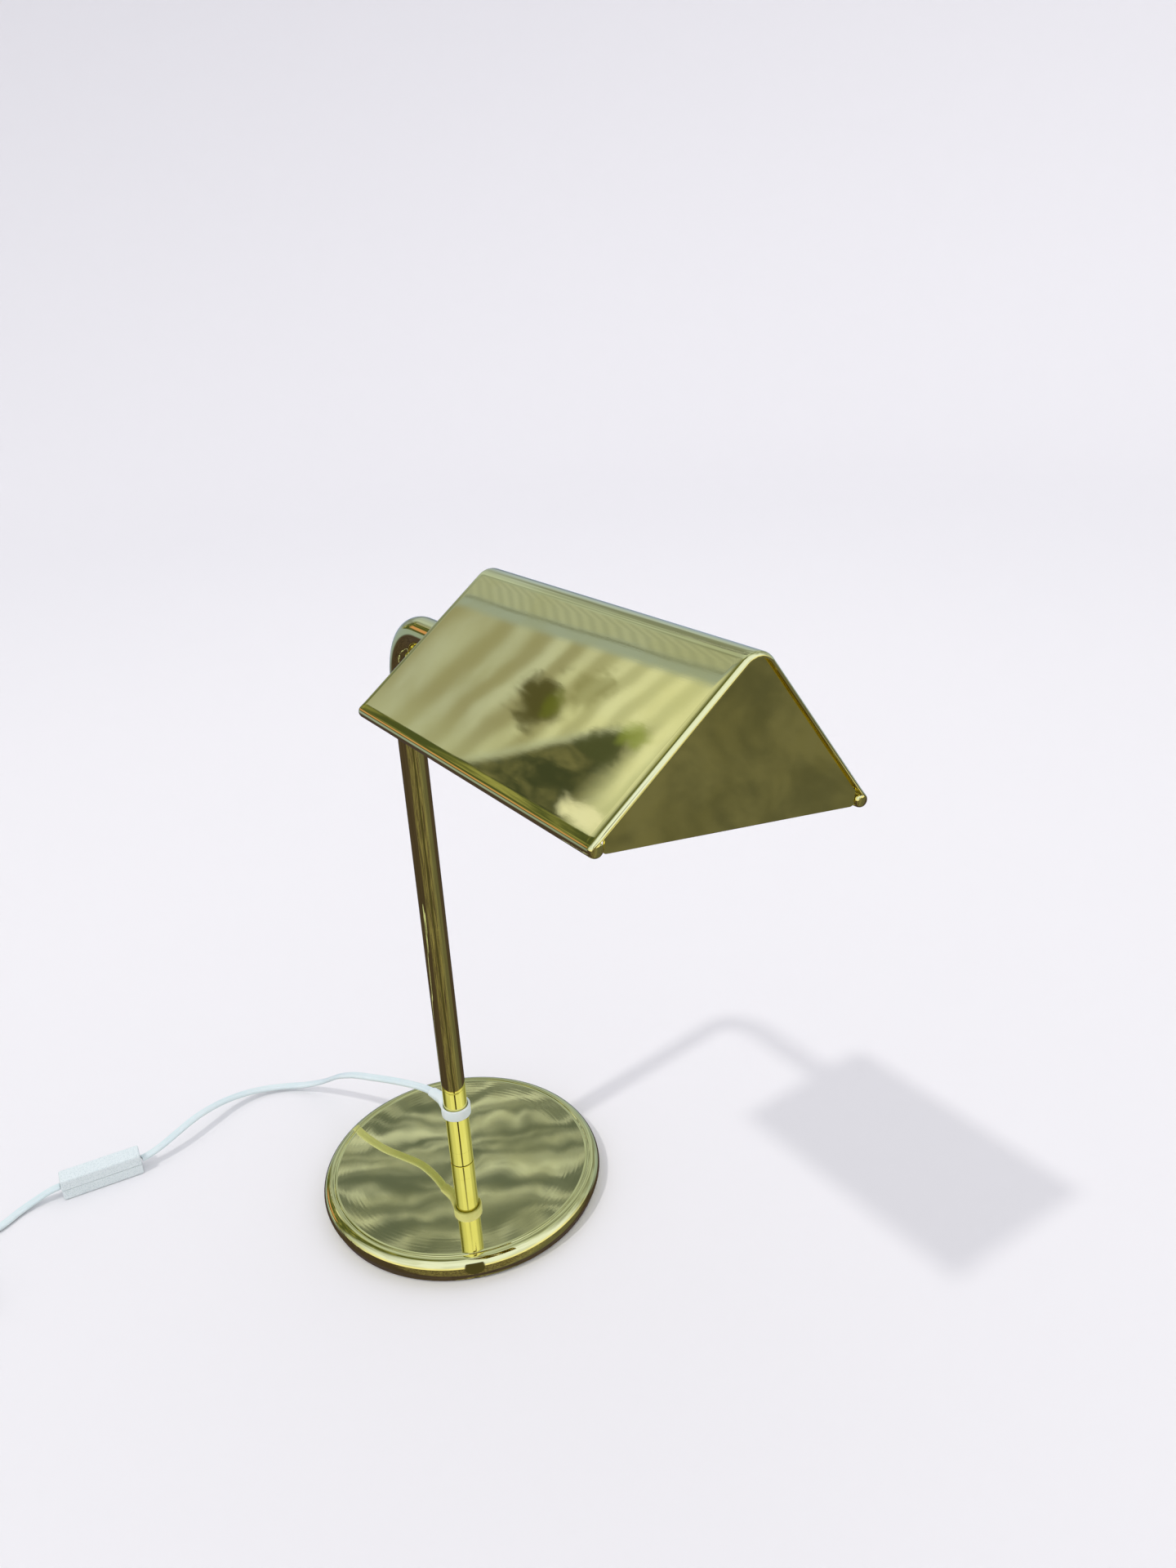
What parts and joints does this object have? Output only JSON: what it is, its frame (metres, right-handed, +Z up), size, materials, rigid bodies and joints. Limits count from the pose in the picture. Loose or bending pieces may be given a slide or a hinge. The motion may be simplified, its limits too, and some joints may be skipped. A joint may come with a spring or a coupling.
{
  "type": "banker desk lamp",
  "caption": "Brass desk lamp: weighted round base, bent tube stem, gabled shade that tilts about the arm over a tubular bulb, flat cord with in-line switch and plug.",
  "frame": {"origin": "on the surface that the lamp stands on, under the middle of the round base", "axes": "+Z up; +X along the arm, from the stem to the shade; the shade is at rest tilted 8.5 degrees about +X, its +Y edge lower"},
  "size_m": [0.4443, 0.438, 0.4166],
  "materials": {
    "polished_brass": "polished, lacquered",
    "plain_brass": "plain turned or drawn brass",
    "cast_iron": "as cast, dark",
    "felt": "short dark green felt",
    "zinc_steel": "zinc plated",
    "black_fibre": "matt fibre and phenolic",
    "nickel": "nickel plated",
    "frosted_glass": "inside frosted",
    "tungsten": "drawn wire",
    "white_vinyl": "satin flexible vinyl, cool white",
    "white_nylon": "moulded, slightly translucent white",
    "switch_plastic": "moulded, textured top",
    "black_tie": "matt"
  },
  "bodies": {
    "stand": {"base_cover": "polished_brass", "base_weight": "cast_iron", "base_felt": "felt", "base_washer": "zinc_steel", "base_lock_washer": "zinc_steel", "base_nut": "zinc_steel", "stem_stud": "zinc_steel", "foot_collar": "polished_brass", "stem_tube": "polished_brass", "arm_end_bushing": "plain_brass", "friction_washer": "black_fibre", "wave_spring": "zinc_steel", "cable_clip": "white_nylon", "cord_grommet": "white_nylon", "cord_inner": "white_vinyl", "cord_lamp": "white_vinyl", "cord_mains": "white_vinyl", "cord_coil": "white_vinyl", "cord_tail": "white_vinyl", "coil_tie": "black_tie", "plug_body": "white_vinyl", "plug_blade_1": "nickel", "plug_blade_2": "nickel", "switch_lower_shell": "switch_plastic", "switch_cover": "switch_plastic", "switch_contact_in": "plain_brass", "switch_contact_out": "plain_brass", "switch_pin": "zinc_steel", "switch_screw_1": "zinc_steel", "switch_screw_2": "zinc_steel"},
    "shade": {"swivel_collar": "plain_brass", "swivel_nipple": "plain_brass", "swivel_washer": "zinc_steel", "swivel_lock_nut": "zinc_steel", "gable_lock_nut": "zinc_steel", "shade_sheet": "polished_brass", "gable_inner": "polished_brass", "gable_outer": "polished_brass", "socket_cap": "plain_brass", "socket_shell": "plain_brass", "socket_liner": "black_fibre", "socket_body": "black_fibre", "screw_shell": "plain_brass", "centre_contact": "plain_brass", "lead_wire_live": "black_fibre", "lead_wire_neutral": "black_fibre", "bulb_cap": "nickel", "bulb_glass": "frosted_glass", "filament_mount": "frosted_glass", "filament": "tungsten"},
    "switch_wheel": {"switch_wheel": "switch_plastic"}
  },
  "joints": [
    {"name": "shade_tilt", "type": "hinge", "parent": "stand", "child": "shade", "pos_m": [0.0955, 0, 0.375], "axis": [1, 0, 0], "range_deg": [-66.5, 83.5]},
    {"name": "switch_wheel_turn", "type": "hinge", "parent": "stand", "child": "switch_wheel", "pos_m": [-0.14639, -0.19411, 0.0077], "axis": [0, 0, 1], "continuous": true}
  ]
}
